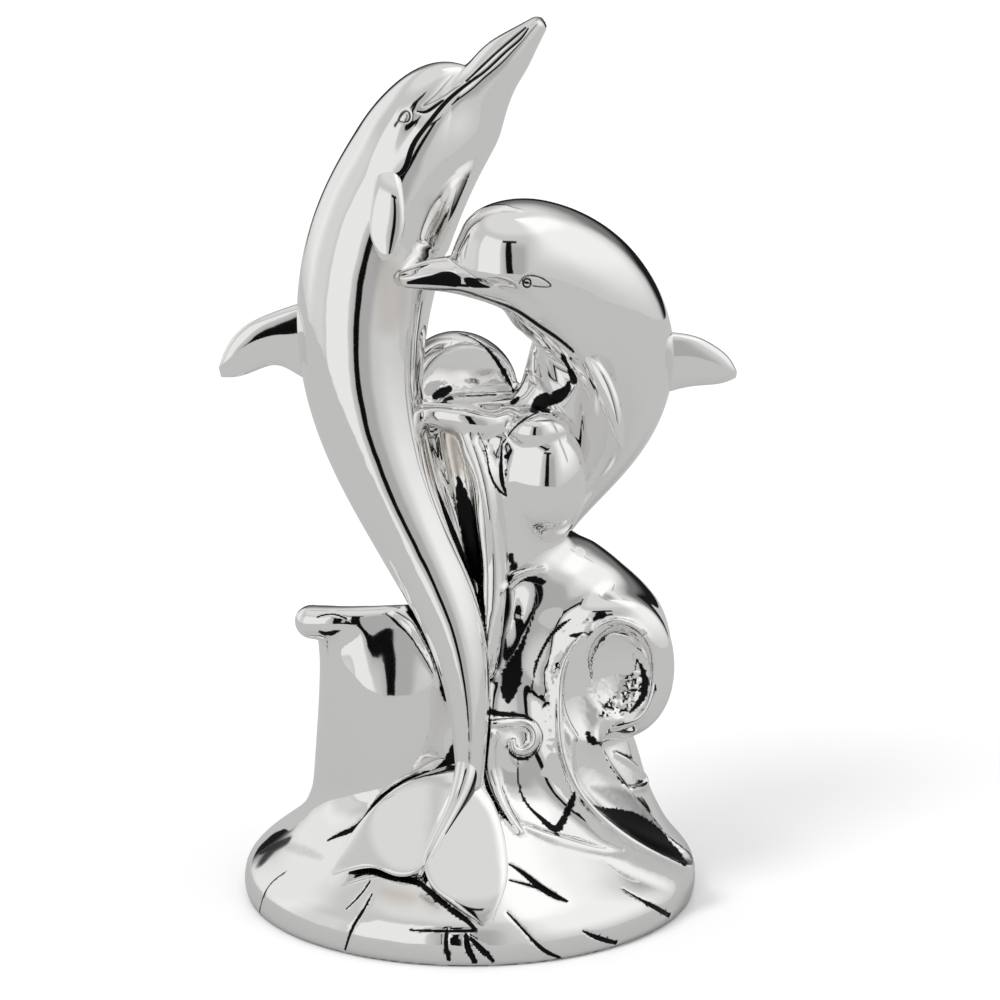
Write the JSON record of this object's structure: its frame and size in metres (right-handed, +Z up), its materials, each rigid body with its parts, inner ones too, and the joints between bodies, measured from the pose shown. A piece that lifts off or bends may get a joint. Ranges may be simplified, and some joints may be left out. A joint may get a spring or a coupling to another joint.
{
  "type": "dolphin pair sculpture",
  "caption": "Polished silver table sculpture of leaping dolphins rising from curling waves on a round flat foot, cast in one piece.",
  "frame": {"origin": "centre of the flat underside of the round foot", "axes": "+Z up, +X to the right of someone facing the front, -Y toward the front, where the tall dolphin's fluke lies"},
  "size_m": [0.1276, 0.1137, 0.2202],
  "materials": {
    "polished_silver": "mirror-polished silver, faintly warm in the creases"
  },
  "bodies": {
    "root": {"dolphin_pair": "polished_silver"}
  },
  "joints": []
}
